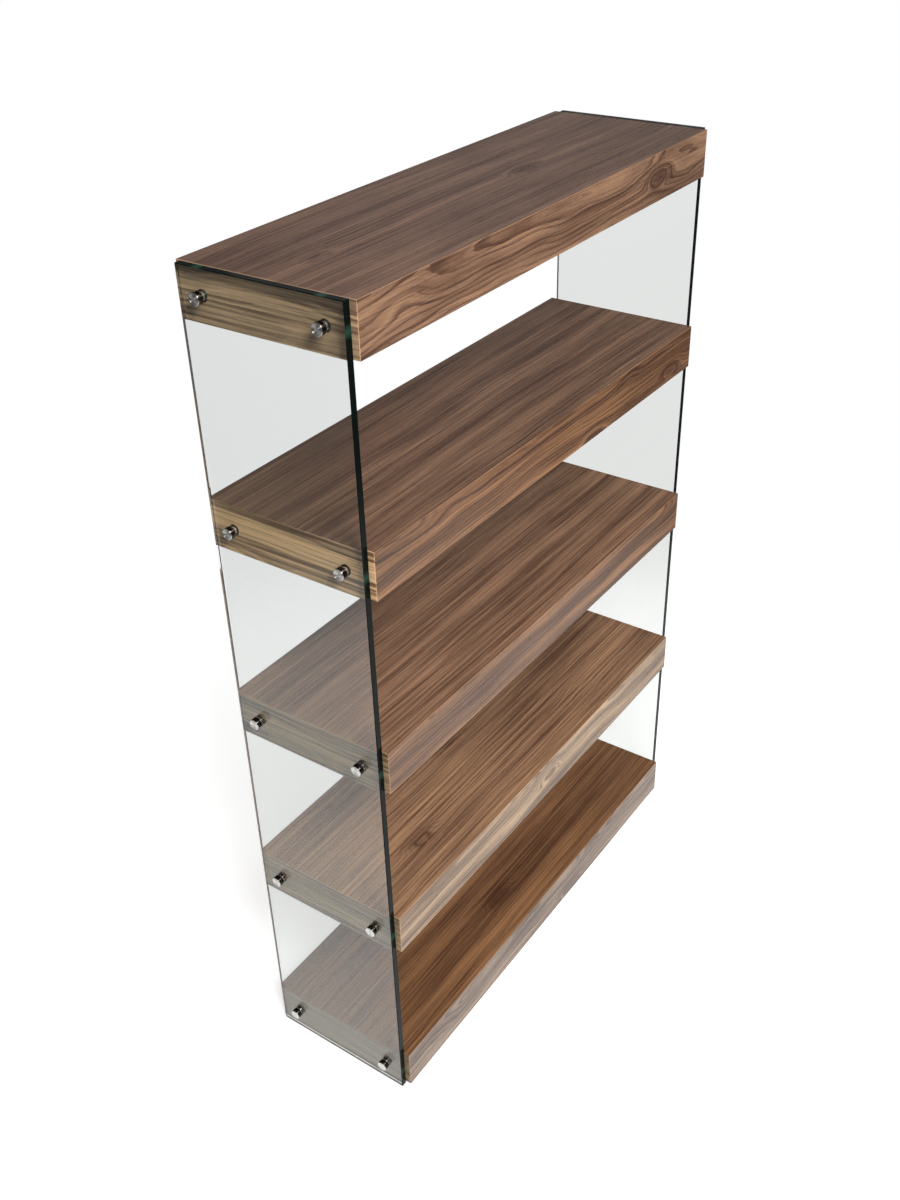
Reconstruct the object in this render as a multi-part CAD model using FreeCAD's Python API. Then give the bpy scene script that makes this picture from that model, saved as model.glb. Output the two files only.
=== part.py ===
import FreeCAD, Part
import os

# Open bookcase: five thick veneered box shelves held between two clear glass end panels.
# Each shelf end is clamped to the glass by two round standoff fixings, one near the front
# and one near the back. Nothing on it moves in use.
# Frame: origin at the centre of the footprint on the floor, +Z up, front at -Y, +X to the
# right of a person who faces the front. All sizes in millimetres.

Vector = FreeCAD.Vector

# ---- driving dimensions ---------------------------------------------------------------
OVERALL_WIDTH = 1000.0          # over the two glass panels, without the standoff caps
DEPTH = 305.0                   # front to back of a shelf
HEIGHT = 1500.0                 # floor to the top of the highest shelf
SHELF_COUNT = 5
SHELF_THICKNESS = 80.0

BOARD_THICKNESS = 18.0          # veneered board that a shelf is folded from
SHELF_ARRIS = 0.6               # eased outer edges of a shelf
RIB_COUNT = 3
RIB_THICKNESS = 12.0
END_BLOCK_LENGTH = 40.0         # solid block behind each shelf end

GLASS_THICKNESS = 12.0
GLASS_SETBACK = 10.0            # glass edge behind the shelf's front, and ahead of its back
GLASS_ARRIS = 1.0               # polished 45 degree arris round the edge
GLASS_HOLE_DIAMETER = 14.0
GLASS_HOLE_BEVEL = 0.6

FIXING_INSET = 48.0             # axis of a fixing from the shelf's front or back face
GASKET_THICKNESS = 1.0          # one on each face of the glass
GASKET_DIAMETER = 18.0

CAP_DIAMETER = 19.0
CAP_LENGTH = 9.0
CAP_BEVEL = 0.9
CAP_DISH_DIAMETER = 15.0        # shallow turned recess in the outer face
CAP_DISH_DEPTH = 0.25
CAP_BORE_DEPTH = 6.5

STUD_DIAMETER = 8.0             # M8 set screw, drawn without its thread
STUD_LENGTH = 40.0
STUD_BEVEL = 0.8
STUD_SOCKET_ACROSS_CORNERS = 4.6
STUD_SOCKET_DEPTH = 5.0
STUD_CLEARANCE = 0.1            # radial, to every bore that it passes through

BUSH_CLEARANCE = 0.2            # radial, between a bush and its hole in the glass
INSERT_DIAMETER = 12.4
INSERT_LENGTH = 25.0
INSERT_RIM_DIAMETER = 15.0
INSERT_RIM_THICKNESS = 1.5
INSERT_CLEARANCE = 0.05         # radial, between an insert and the wood round it
BORE_RUN_OUT = 3.0              # depth of the wood's bore past the end of an insert

# ---- sizes that follow from them ------------------------------------------------------
SHELF_LENGTH = OVERALL_WIDTH - 2.0 * (GLASS_THICKNESS + GASKET_THICKNESS)
SHELF_END = SHELF_LENGTH / 2.0
SHELF_PITCH = (HEIGHT - SHELF_THICKNESS) / (SHELF_COUNT - 1)
GLASS_INNER_FACE = SHELF_END + GASKET_THICKNESS
CAVITY_DEPTH = DEPTH - 2.0 * BOARD_THICKNESS
CAVITY_HEIGHT = SHELF_THICKNESS - 2.0 * BOARD_THICKNESS
RIB_SPAN = SHELF_LENGTH - 2.0 * (BOARD_THICKNESS + END_BLOCK_LENGTH)
FIXING_Y = DEPTH / 2.0 - FIXING_INSET
STUD_BORE_DIAMETER = STUD_DIAMETER + 2.0 * STUD_CLEARANCE

X_AXIS = Vector(1, 0, 0)
Y_AXIS = Vector(0, 1, 0)
Z_AXIS = Vector(0, 0, 1)
SIDES = {"left": -1.0, "right": 1.0}


def shelf_centre_height(number):
    """Mid-height of a shelf; number 1 is the one on the floor."""
    return SHELF_THICKNESS / 2.0 + (number - 1) * SHELF_PITCH


def centred_box(size_x, size_y, size_z, centre):
    corner = centre - Vector(size_x, size_y, size_z) * 0.5
    return Part.makeBox(size_x, size_y, size_z, corner)


def rod(diameter, start_x, end_x, y=0.0, z=0.0):
    """Round bar along X from start_x to end_x."""
    length = abs(end_x - start_x)
    return Part.makeCylinder(diameter / 2.0, length, Vector(min(start_x, end_x), y, z), X_AXIS)


def outer_edges(solid, low_x, high_x):
    """Circular edges of a turned solid that lie on the planes x = low_x and x = high_x."""
    found = []
    for edge in solid.Edges:
        x = edge.BoundBox.Center.x
        flat = edge.BoundBox.XLength < 1e-6
        if flat and (abs(x - low_x) < 1e-6 or abs(x - high_x) < 1e-6):
            found.append(edge)
    return found


# ---- shelves --------------------------------------------------------------------------
def mitred_board(centre, across, along, outward, width, height):
    """Board with all four edges mitred at 45 degrees, so that six of them fold into a box.

    centre is the middle of the outer face, across and along are its two directions. The
    board is three stacked rectangles: the face inside its arris, the line where the arris
    meets the mitre, and the smaller inner face.
    """
    layers = []
    for inset, depth in ((SHELF_ARRIS, 0.0), (SHELF_ARRIS / 2.0, SHELF_ARRIS / 2.0),
                         (BOARD_THICKNESS, BOARD_THICKNESS)):
        half_w = width / 2.0 - inset
        half_h = height / 2.0 - inset
        layers.append([centre + across * (sx * half_w) + along * (sy * half_h) - outward * depth
                       for sx, sy in ((-1, -1), (1, -1), (1, 1), (-1, 1))])

    faces = [layers[0], layers[2]]
    for upper, lower in ((layers[0], layers[1]), (layers[1], layers[2])):
        for i in range(4):
            j = (i + 1) % 4
            faces.append([upper[i], upper[j], lower[j], lower[i]])
    shell = Part.Shell([Part.Face(Part.makePolygon(corners + corners[:1])) for corners in faces])
    solid = Part.Solid(shell)
    if solid.Volume < 0:
        solid.reverse()
    return solid


def end_board(side, height):
    """Mitred end of a shelf, bored and counterbored for the two inserts."""
    board = mitred_board(Vector(side * SHELF_END, 0, height), Y_AXIS, Z_AXIS, X_AXIS * side,
                         DEPTH, SHELF_THICKNESS)
    for y in (-FIXING_Y, FIXING_Y):
        board = board.cut(insert_bore(side, y, height))
    return board


def insert_bore(side, y, height):
    face = side * SHELF_END
    shank = rod(INSERT_DIAMETER + 2.0 * INSERT_CLEARANCE, face,
                face - side * (INSERT_LENGTH + BORE_RUN_OUT), y, height)
    rim = rod(INSERT_RIM_DIAMETER + 2.0 * INSERT_CLEARANCE, face,
              face - side * (INSERT_RIM_THICKNESS + INSERT_CLEARANCE), y, height)
    return shank.fuse(rim)


def end_blocks(height):
    """Solid blocks inside the two ends of a shelf, bored for the inserts."""
    blocks = []
    for side in SIDES.values():
        x = side * (SHELF_END - BOARD_THICKNESS - END_BLOCK_LENGTH / 2.0)
        block = centred_box(END_BLOCK_LENGTH, CAVITY_DEPTH, CAVITY_HEIGHT, Vector(x, 0, height))
        for y in (-FIXING_Y, FIXING_Y):
            block = block.cut(insert_bore(side, y, height))
        blocks.append(block)
    return Part.makeCompound(blocks)


def ribs(height):
    """Cross ribs that keep the top and bottom boards of a shelf apart."""
    spacing = RIB_SPAN / (RIB_COUNT + 1)
    places = [(i + 1) * spacing - RIB_SPAN / 2.0 for i in range(RIB_COUNT)]
    return Part.makeCompound([
        centred_box(RIB_THICKNESS, CAVITY_DEPTH, CAVITY_HEIGHT, Vector(x, 0, height))
        for x in places])


def shelf(number):
    """Node name to shape for every piece of one shelf."""
    height = shelf_centre_height(number)
    half_t = SHELF_THICKNESS / 2.0
    half_d = DEPTH / 2.0
    pieces = {
        "top_board": mitred_board(Vector(0, 0, height + half_t), X_AXIS, Y_AXIS, Z_AXIS,
                                  SHELF_LENGTH, DEPTH),
        "bottom_board": mitred_board(Vector(0, 0, height - half_t), X_AXIS, Y_AXIS, -Z_AXIS,
                                     SHELF_LENGTH, DEPTH),
        "front_board": mitred_board(Vector(0, -half_d, height), X_AXIS, Z_AXIS, -Y_AXIS,
                                    SHELF_LENGTH, SHELF_THICKNESS),
        "back_board": mitred_board(Vector(0, half_d, height), X_AXIS, Z_AXIS, Y_AXIS,
                                   SHELF_LENGTH, SHELF_THICKNESS),
        "end_blocks": end_blocks(height),
        "ribs": ribs(height),
    }
    for name, side in SIDES.items():
        pieces["end_board_" + name] = end_board(side, height)
    return {"shelf_%d_%s" % (number, name): shape for name, shape in pieces.items()}


# ---- glass ----------------------------------------------------------------------------
def glass_hole(side, y, height):
    """Drilled hole with a small bevel at both faces of the glass."""
    inner = side * GLASS_INNER_FACE
    outer = side * (GLASS_INNER_FACE + GLASS_THICKNESS)
    hole = rod(GLASS_HOLE_DIAMETER, inner, outer, y, height)
    radius = GLASS_HOLE_DIAMETER / 2.0
    for face_x, inward in ((inner, X_AXIS * side), (outer, X_AXIS * -side)):
        bevel = Part.makeCone(radius + GLASS_HOLE_BEVEL, radius, GLASS_HOLE_BEVEL,
                              Vector(face_x, y, height), inward)
        hole = hole.fuse(bevel)
    return hole


def glass_panel(side):
    """Full-height end panel with a polished arris and one hole for each fixing."""
    centre = Vector(side * (GLASS_INNER_FACE + GLASS_THICKNESS / 2.0), 0, HEIGHT / 2.0)
    panel = centred_box(GLASS_THICKNESS, DEPTH - 2.0 * GLASS_SETBACK, HEIGHT, centre)
    panel = panel.makeChamfer(GLASS_ARRIS, panel.Edges)
    for y, height in fixing_places():
        panel = panel.cut(glass_hole(side, y, height))
    return panel


# ---- standoff fixings -----------------------------------------------------------------
def fixing_places():
    """(y, z) of each fixing on one end panel."""
    return [(y, shelf_centre_height(number))
            for number in range(1, SHELF_COUNT + 1) for y in (-FIXING_Y, FIXING_Y)]


def cap():
    """Turned cap with a bevelled rim, a dished face and a blind bore for the stud."""
    start = GLASS_INNER_FACE + GLASS_THICKNESS + GASKET_THICKNESS
    end = start + CAP_LENGTH
    body = rod(CAP_DIAMETER, start, end)
    body = body.makeChamfer(CAP_BEVEL, outer_edges(body, end, end))
    dish = rod(CAP_DISH_DIAMETER, end - CAP_DISH_DEPTH, end)
    bore = rod(STUD_BORE_DIAMETER, start, start + CAP_BORE_DEPTH)
    return body.cut(dish).cut(bore)


def washer(outer_diameter, start, end):
    return rod(outer_diameter, start, end).cut(rod(STUD_BORE_DIAMETER, start, end))


def outer_gasket():
    start = GLASS_INNER_FACE + GLASS_THICKNESS
    return washer(GASKET_DIAMETER, start, start + GASKET_THICKNESS)


def inner_gasket():
    return washer(GASKET_DIAMETER, SHELF_END, GLASS_INNER_FACE)


def bush():
    """Sleeve that keeps the stud off the wall of the hole in the glass."""
    diameter = GLASS_HOLE_DIAMETER - 2.0 * BUSH_CLEARANCE
    return washer(diameter, GLASS_INNER_FACE, GLASS_INNER_FACE + GLASS_THICKNESS)


def stud():
    """Set screw with a hexagon socket in its outer end."""
    cap_bore_end = GLASS_INNER_FACE + GLASS_THICKNESS + GASKET_THICKNESS + CAP_BORE_DEPTH
    outer = cap_bore_end - STUD_BEVEL
    inner = outer - STUD_LENGTH
    body = rod(STUD_DIAMETER, inner, outer)
    body = body.makeChamfer(STUD_BEVEL, outer_edges(body, inner, outer))
    hexagon = Part.makePolygon(hexagon_corners(outer, STUD_SOCKET_ACROSS_CORNERS / 2.0))
    socket = Part.Face(hexagon).extrude(X_AXIS * -STUD_SOCKET_DEPTH)
    return body.cut(socket)


def hexagon_corners(x, radius):
    arm = Vector(0, radius, 0)
    turn = FreeCAD.Rotation(X_AXIS, 60.0)
    corners = []
    for _ in range(7):
        corners.append(Vector(x, arm.y, arm.z))
        arm = turn.multVec(arm)
    corners[6] = corners[0]
    return corners


def threaded_insert():
    """Rimmed insert, flush with the end of the shelf, that the stud screws into."""
    body = rod(INSERT_DIAMETER, SHELF_END - INSERT_LENGTH, SHELF_END)
    rim = rod(INSERT_RIM_DIAMETER, SHELF_END - INSERT_RIM_THICKNESS, SHELF_END)
    bore = rod(STUD_BORE_DIAMETER, SHELF_END - INSERT_LENGTH, SHELF_END)
    return body.fuse(rim).removeSplitter().cut(bore)


def on_every_fixing(piece, side):
    """Copies of a piece, made for the right-hand end, at each fixing of one end panel."""
    copies = []
    for y, height in fixing_places():
        copy = piece.copy()
        if side < 0:
            copy.rotate(Vector(0, 0, 0), Z_AXIS, 180.0)
        copy.translate(Vector(0, y, height))
        copies.append(copy)
    return Part.makeCompound(copies)


FIXING_PIECES = {
    "standoff_caps": cap,
    "outer_gaskets": outer_gasket,
    "hole_bushes": bush,
    "inner_gaskets": inner_gasket,
    "studs": stud,
    "threaded_inserts": threaded_insert,
}


def bookcase():
    """Node name to shape for the whole object."""
    nodes = {}
    for number in range(1, SHELF_COUNT + 1):
        nodes.update(shelf(number))
    for name, side in SIDES.items():
        nodes["glass_panel_" + name] = glass_panel(side)
        for piece, make in FIXING_PIECES.items():
            nodes["%s_%s" % (piece, name)] = on_every_fixing(make(), side)
    return nodes


os.makedirs("parts", exist_ok=True)
for node, shape in bookcase().items():
    shape.exportStep("parts/%s.step" % node)
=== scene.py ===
import math
import random

import bpy
from mathutils import Matrix, Vector


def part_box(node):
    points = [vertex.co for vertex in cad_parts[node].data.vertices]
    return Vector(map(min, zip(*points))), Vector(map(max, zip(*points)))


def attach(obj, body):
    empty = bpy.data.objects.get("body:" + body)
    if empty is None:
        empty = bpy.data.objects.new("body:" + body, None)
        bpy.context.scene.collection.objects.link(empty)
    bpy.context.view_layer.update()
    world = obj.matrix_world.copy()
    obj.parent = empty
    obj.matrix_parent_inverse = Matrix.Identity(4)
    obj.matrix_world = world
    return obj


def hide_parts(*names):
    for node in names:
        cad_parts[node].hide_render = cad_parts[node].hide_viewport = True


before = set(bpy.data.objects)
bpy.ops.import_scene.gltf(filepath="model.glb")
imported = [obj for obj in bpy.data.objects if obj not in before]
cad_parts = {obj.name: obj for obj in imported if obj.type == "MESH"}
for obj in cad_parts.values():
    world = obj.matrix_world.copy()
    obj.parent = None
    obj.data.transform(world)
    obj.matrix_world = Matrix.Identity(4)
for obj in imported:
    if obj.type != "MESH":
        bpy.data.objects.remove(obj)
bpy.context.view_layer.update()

# Walnut bookcase: five veneered box shelves bolted between two clear glass end panels.
# All sizes in metres, in the CAD model's frame: front at -Y, left end at -X, +Z up.

# ---- sizes ------------------------------------------------------------------------------
MM = 0.001
BOARD_THICKNESS = 18 * MM
BOARD_ARRIS = 1.0 * MM          # radius of the eased edges of a shelf
ARRIS_STEPS = 5

CAP_DIAMETER = 19 * MM
CAP_RIM_RADIUS = 0.9 * MM
CAP_BACK_RADIUS = 0.3 * MM
CAP_DISH_DIAMETER = 15 * MM
CAP_DISH_DEPTH = 0.25 * MM
CAP_BORE_DIAMETER = 8.2 * MM
CAP_BORE_DEPTH = 6.5 * MM
GASKET_DIAMETER = 18 * MM
GASKET_EDGE_RADIUS = 0.3 * MM
BUSH_DIAMETER = 13.6 * MM
BUSH_EDGE_RADIUS = 0.3 * MM
STUD_DIAMETER = 8 * MM
THREAD_PITCH = 1.25 * MM
THREAD_DEPTH = 0.7 * MM
INSERT_DIAMETER = 12.4 * MM
INSERT_RIM_DIAMETER = 15 * MM
INSERT_RIM_THICKNESS = 1.5 * MM
INSERT_BORE_CLEARANCE = 0.05 * MM
INSERT_BARBS = 4
BARB_DEPTH = 1.0 * MM
INSERT_NOSE_TAPER = 1.2 * MM
BORE_DIAMETER = 8.2 * MM

BAND_WIDTH = 24 * MM            # of the walnut's widest bands of pigment
YEAR_WIDTH = 7 * MM             # of one year's growth
TOOL_MARK = 0.4 * MM            # from ring to ring on the turned face of a cap

GLASS_HOLE_DIAMETER = 14 * MM
GLASS_HOLE_ARRIS = 0.6 * MM
GLASS_ARRIS = 1.0 * MM
PAINTED_GLEAM_REACH = 12 * MM           # of the painted glint, the light that each hole scatters to the edge
HOLE_SIDES = 48
CAP_SIDES = 64
SMALL_PART_SIDES = 32
SHARP_ANGLE = math.radians(35)  # a turned edge sharper than this stays crisp
WELD = 0.01 * MM
HUB_RADIUS = 0.001 * MM         # an outline is turned on this, and its poles are then welded
HUB_WELD = 0.005 * MM
SHELVES = (1, 2, 3, 4, 5)
SIDES = {"left": -1.0, "right": 1.0}


# ---- small tools ------------------------------------------------------------------------
def colour(hex_value):
    """sRGB hex value to the linear colour that shaders use."""
    channels = [int(hex_value[i:i + 2], 16) / 255.0 for i in (1, 3, 5)]
    linear = [c / 12.92 if c <= 0.04045 else ((c + 0.055) / 1.055) ** 2.4 for c in channels]
    return (*linear, 1.0)


def node(tree, kind, inputs=(), **settings):
    """Adds a node. inputs gives each socket, by name or number, a value or what feeds it.

    In a dict, a list of nodes all feed the one socket.
    """
    made = tree.nodes.new(kind)
    for name, value in settings.items():
        setattr(made, name, value)
    if not isinstance(inputs, dict):
        inputs = dict(enumerate(inputs))
    for key, given in inputs.items():
        for value in given if isinstance(given, list) else [given]:
            if isinstance(value, bpy.types.Node):
                value = next(out for out in value.outputs if out.enabled)
            if isinstance(value, bpy.types.NodeSocket):
                tree.links.new(value, made.inputs[key])
            elif value is not None:
                made.inputs[key].default_value = value
    return made


def geometry_tree(name, inputs):
    """A Geometry Nodes tree with named inputs. Returns it with its Group Input node."""
    tree = bpy.data.node_groups.new(name, "GeometryNodeTree")
    tree.interface.new_socket("Geometry", in_out="OUTPUT", socket_type="NodeSocketGeometry")
    for label, kind in inputs.items():
        tree.interface.new_socket(label, in_out="INPUT", socket_type="NodeSocket" + kind)
    return tree, tree.nodes.new("NodeGroupInput")


def run_tree(name, tree, values, start=None):
    """Runs a tree on a start mesh and returns the result as a piece with a plain mesh."""
    piece = bpy.data.objects.new(name, start or bpy.data.meshes.new(name))
    bpy.context.scene.collection.objects.link(piece)
    shaper = piece.modifiers.new("shape", "NODES")
    shaper.node_group = tree
    for socket in tree.interface.items_tree:
        if socket.in_out == "INPUT" and socket.name in values:
            shaper[socket.identifier] = values[socket.name]
    bpy.context.view_layer.update()
    depsgraph = bpy.context.evaluated_depsgraph_get()
    mesh = bpy.data.meshes.new_from_object(piece.evaluated_get(depsgraph))
    piece.modifiers.clear()
    piece.data = mesh
    mesh.name = name
    return piece


def settle(piece, node_name):
    """Fixes a finished piece to the body, in place of its CAD node."""
    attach(piece, "root")
    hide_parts(node_name)


# ---- materials --------------------------------------------------------------------------
def new_material(name, **surface_values):
    """A material with one Principled shader. Plain values go on the shader's own sockets."""
    material = bpy.data.materials.new(name)
    material.use_nodes = True
    tree = material.node_tree
    tree.nodes.clear()
    shader = node(tree, "ShaderNodeBsdfPrincipled",
                  {key.replace("_", " "): value for key, value in surface_values.items()})
    node(tree, "ShaderNodeOutputMaterial", {"Surface": shader})
    return material, tree, shader


def mottle(tree, shader, scale, detail, first, second):
    """Lets a surface's colour drift between two shades, in clouds of 1 / scale metres.

    Returns the cloud, from 0 to 1.
    """
    place = node(tree, "ShaderNodeTexCoord").outputs["Object"]
    cloud = node(tree, "ShaderNodeTexNoise",
                 {"Vector": place, "Scale": scale, "Detail": detail}).outputs["Fac"]
    shade = node(tree, "ShaderNodeMix",
                 {"Factor": cloud, 6: colour(first), 7: colour(second)}, data_type="RGBA")
    tree.links.new(shade.outputs[2], shader.inputs["Base Color"])
    return cloud


def stretched(tree, leaf, along, across, **noise):
    """Noise on a veneer leaf, with so many waves a metre along and across the grain."""
    spread = node(tree, "ShaderNodeVectorMath", [leaf, (along, across, 1.0)],
                  operation="MULTIPLY")
    return node(tree, "ShaderNodeTexNoise", {"Vector": spread, "Scale": 1.0, **noise})


def swing(tree, value, gain, base=0.0):
    """base plus gain times how far a 0 to 1 value is from its middle."""
    middle = node(tree, "ShaderNodeMath", [value, 0.5], operation="SUBTRACT")
    return node(tree, "ShaderNodeMath", [middle, gain, base], operation="MULTIPLY_ADD")


def heart_distance(tree, leaf, figure):
    """How far from the log's heart line each point of a leaf grew."""
    heart_depth, heart_line, bend = figure.outputs
    # the log wanders: 450 mm long waves, 140 mm wide
    wander = stretched(tree, leaf, 2.2, 7.0, Detail=2.0, Roughness=0.5)
    wander = node(tree, "ShaderNodeSeparateColor", [wander.outputs["Color"]])
    across = node(tree, "ShaderNodeSeparateXYZ", [leaf]).outputs["Y"]
    off_line = node(tree, "ShaderNodeMath", [across, heart_line], operation="SUBTRACT")
    off_line = swing(tree, wander.outputs[0], 0.05, off_line)
    depth = swing(tree, wander.outputs[1], bend, heart_depth)
    return node(tree, "ShaderNodeVectorMath",
                [node(tree, "ShaderNodeCombineXYZ", [off_line, depth, 0.0])],
                operation="LENGTH").outputs["Value"]


def small_knots(tree, leaf, share):
    """A small knot, 1 at its middle and 0 round it, in a share of cells of 250 x 90 mm."""
    cells = node(tree, "ShaderNodeVectorMath", [leaf, (4.0, 11.0, 1.0)], operation="MULTIPLY")
    cell = node(tree, "ShaderNodeTexVoronoi", {"Vector": cells, "Scale": 1.0},
                voronoi_dimensions="2D")
    chance = node(tree, "ShaderNodeSeparateColor", [cell.outputs["Color"]]).outputs[0]
    has_knot = node(tree, "ShaderNodeMath", [chance, share], operation="LESS_THAN")
    near = node(tree, "ShaderNodeMapRange",
                {"Value": cell.outputs["Distance"], "From Min": 0.02, "From Max": 0.30,
                 "To Min": 1.0, "To Max": 0.0}, interpolation_type="SMOOTHERSTEP")
    return node(tree, "ShaderNodeMath", [near, has_knot], operation="MULTIPLY")


def growth_bands(tree, leaf, radius):
    """How much lighter or darker than the leaf's own colour the log's growth makes it."""
    # bands of pigment from the widest down to 1 mm, long with the grain
    along = node(tree, "ShaderNodeSeparateXYZ", [leaf]).outputs["X"]
    rings = node(tree, "ShaderNodeCombineXYZ", [
        node(tree, "ShaderNodeMath", [radius, 1.0 / BAND_WIDTH], operation="MULTIPLY"),
        node(tree, "ShaderNodeMath", [along, 1.1], operation="MULTIPLY"), 0.0])
    band = node(tree, "ShaderNodeTexNoise", {"Vector": rings, "Scale": 1.0, "Detail": 5.0,
                                             "Roughness": 0.62})
    # a thin dark line ends each year's growth, some years stronger
    year = node(tree, "ShaderNodeMath", [radius, 1.0 / YEAR_WIDTH], operation="MULTIPLY")
    year = swing(tree, stretched(tree, leaf, 9.0, 70.0, Detail=2.0).outputs["Fac"], 1.0, year)
    late = node(tree, "ShaderNodeMapRange",
                {"Value": node(tree, "ShaderNodeMath", [year], operation="FRACT"),
                 "From Min": 0.45, "From Max": 0.93}, interpolation_type="SMOOTHSTEP")
    strength = node(tree, "ShaderNodeTexWhiteNoise",
                    {"W": node(tree, "ShaderNodeMath", [year], operation="FLOOR")},
                    noise_dimensions="1D")
    late = node(tree, "ShaderNodeMath", [late, strength.outputs["Value"]],
                operation="MULTIPLY")
    return node(tree, "ShaderNodeMath", [late, -0.34, swing(tree, band.outputs["Fac"], 1.9)],
                operation="MULTIPLY_ADD")


def walnut_shade(tree, light, tint):
    """The leaf's colour, from its darkest wood at 0 to its palest at 1."""
    wood = node(tree, "ShaderNodeValToRGB", [light])
    stops = wood.color_ramp.elements
    stops[0].position, stops[0].color = 0.0, (0.16, 0.13, 0.13, 1.0)
    stops[1].position, stops[1].color = 1.0, (1.0, 1.0, 0.98, 1.0)
    for place, shade in ((0.28, (0.30, 0.27, 0.26)), (0.5, (0.50, 0.50, 0.50)),
                         (0.75, (0.74, 0.76, 0.74))):
        stops.new(place).color = (*shade, 1.0)
    wood = node(tree, "ShaderNodeVectorMath", [wood.outputs["Color"], tint],
                operation="MULTIPLY")
    return node(tree, "ShaderNodeVectorMath", {0: wood, "Scale": 2.0}, operation="SCALE")


def walnut_veneer():
    """American black walnut, crown and rift cut, sanded and sealed with satin lacquer.

    The figure is a slice through a bent log: bands of pigment follow the distance from the
    heart line, so a cut close to the heart gives arches and eyes, and one far from it gives
    straight lines. Pores are drawn three times their real width, to show.
    """
    material, tree, shader = new_material("american_walnut_veneer", IOR=1.5)
    leaf = node(tree, "ShaderNodeUVMap", uv_map="veneer")
    figure, tone = (
        node(tree, "ShaderNodeSeparateXYZ",
             [node(tree, "ShaderNodeAttribute", attribute_name=name).outputs["Vector"]])
        for name in ("figure", "tone"))
    contrast, streaks, knots = tone.outputs
    tint = node(tree, "ShaderNodeAttribute", attribute_name="tint").outputs["Vector"]

    # a knot lifts the bands round it into an eye
    knot = small_knots(tree, leaf, knots)
    radius = node(tree, "ShaderNodeMath", [knot, 0.022, heart_distance(tree, leaf, figure)],
                  operation="MULTIPLY_ADD")

    # streaks 5 mm wide and 400 mm long, thin lines 2.5 mm wide and 250 mm long, fibres
    # 1.2 mm wide and 70 mm long, and pores 1 mm wide and 16 mm long
    streak = stretched(tree, leaf, 2.4, 190.0, Detail=3.0, Roughness=0.6, Distortion=0.1)
    lines = stretched(tree, leaf, 4.0, 400.0, Detail=1.0, Distortion=0.15).outputs["Fac"]
    pale, dark = (
        node(tree, "ShaderNodeMapRange", {"Value": lines, "From Min": low, "From Max": high},
             interpolation_type="SMOOTHSTEP")
        for low, high in ((0.57, 0.66), (0.43, 0.34)))
    fibre = stretched(tree, leaf, 14.0, 800.0, Detail=2.0, Roughness=0.6).outputs["Fac"]
    pore = node(tree, "ShaderNodeMapRange",
                {"Value": stretched(tree, leaf, 60.0, 950.0, Detail=1.0).outputs["Fac"],
                 "From Min": 0.60, "From Max": 0.70}, interpolation_type="SMOOTHSTEP")
    cloud = stretched(tree, leaf, 5.0, 7.0, Detail=2.0).outputs["Fac"]

    # lightness, 0.5 at the board's own colour
    light = node(tree, "ShaderNodeMath", [growth_bands(tree, leaf, radius), contrast, 0.53],
                 operation="MULTIPLY_ADD")
    light = node(tree, "ShaderNodeMath",
                 [swing(tree, streak.outputs["Fac"], 1.15), streaks, light],
                 operation="MULTIPLY_ADD")
    light = swing(tree, fibre, 0.5, light)
    light = swing(tree, cloud, 0.30, light)
    # the eased edges are lighter: paler sanded wood, and a painted highlight
    arris = node(tree, "ShaderNodeAttribute", attribute_name="arris").outputs["Fac"]
    for mark, gain in ((pale, 0.13), (dark, -0.13), (pore, -0.16), (knot, -0.18),
                       (arris, 0.32)):
        light = node(tree, "ShaderNodeMath", [mark, gain, light], operation="MULTIPLY_ADD")
    tree.links.new(walnut_shade(tree, light, tint).outputs[0], shader.inputs["Base Color"])

    gloss = swing(tree, fibre, 0.12, 0.38)
    gloss = node(tree, "ShaderNodeMath", [pore, 0.2, gloss], operation="MULTIPLY_ADD")
    tree.links.new(gloss.outputs[0], shader.inputs["Roughness"])
    height = node(tree, "ShaderNodeMath", [pore, -1.0, fibre], operation="MULTIPLY_ADD")
    relief = node(tree, "ShaderNodeBump", {"Strength": 0.2, "Distance": 0.0001,
                                           "Height": height})
    tree.links.new(relief.outputs[0], shader.inputs["Normal"])
    return material


def clear_glass():
    """Toughened float glass, both faces fire polished: clear, with the green of its iron."""
    material, tree, shader = new_material("clear_float_glass", IOR=1.52, Roughness=0.0,
                                          Transmission_Weight=1.0,
                                          Base_Color=(1.0, 1.0, 1.0, 1.0))
    # lamps shine straight through
    path = node(tree, "ShaderNodeLightPath")
    straight = node(tree, "ShaderNodeBsdfTransparent")
    both = node(tree, "ShaderNodeMixShader", [path.outputs["Is Shadow Ray"], shader, straight])
    output = next(n for n in tree.nodes if n.type == "OUTPUT_MATERIAL")
    tree.links.new(both.outputs[0], output.inputs["Surface"])
    body = node(tree, "ShaderNodeVolumeAbsorption", {"Color": colour("#006144"),
                                                     "Density": 15.0})
    tree.links.new(body.outputs[0], output.inputs["Volume"])
    return material


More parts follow.
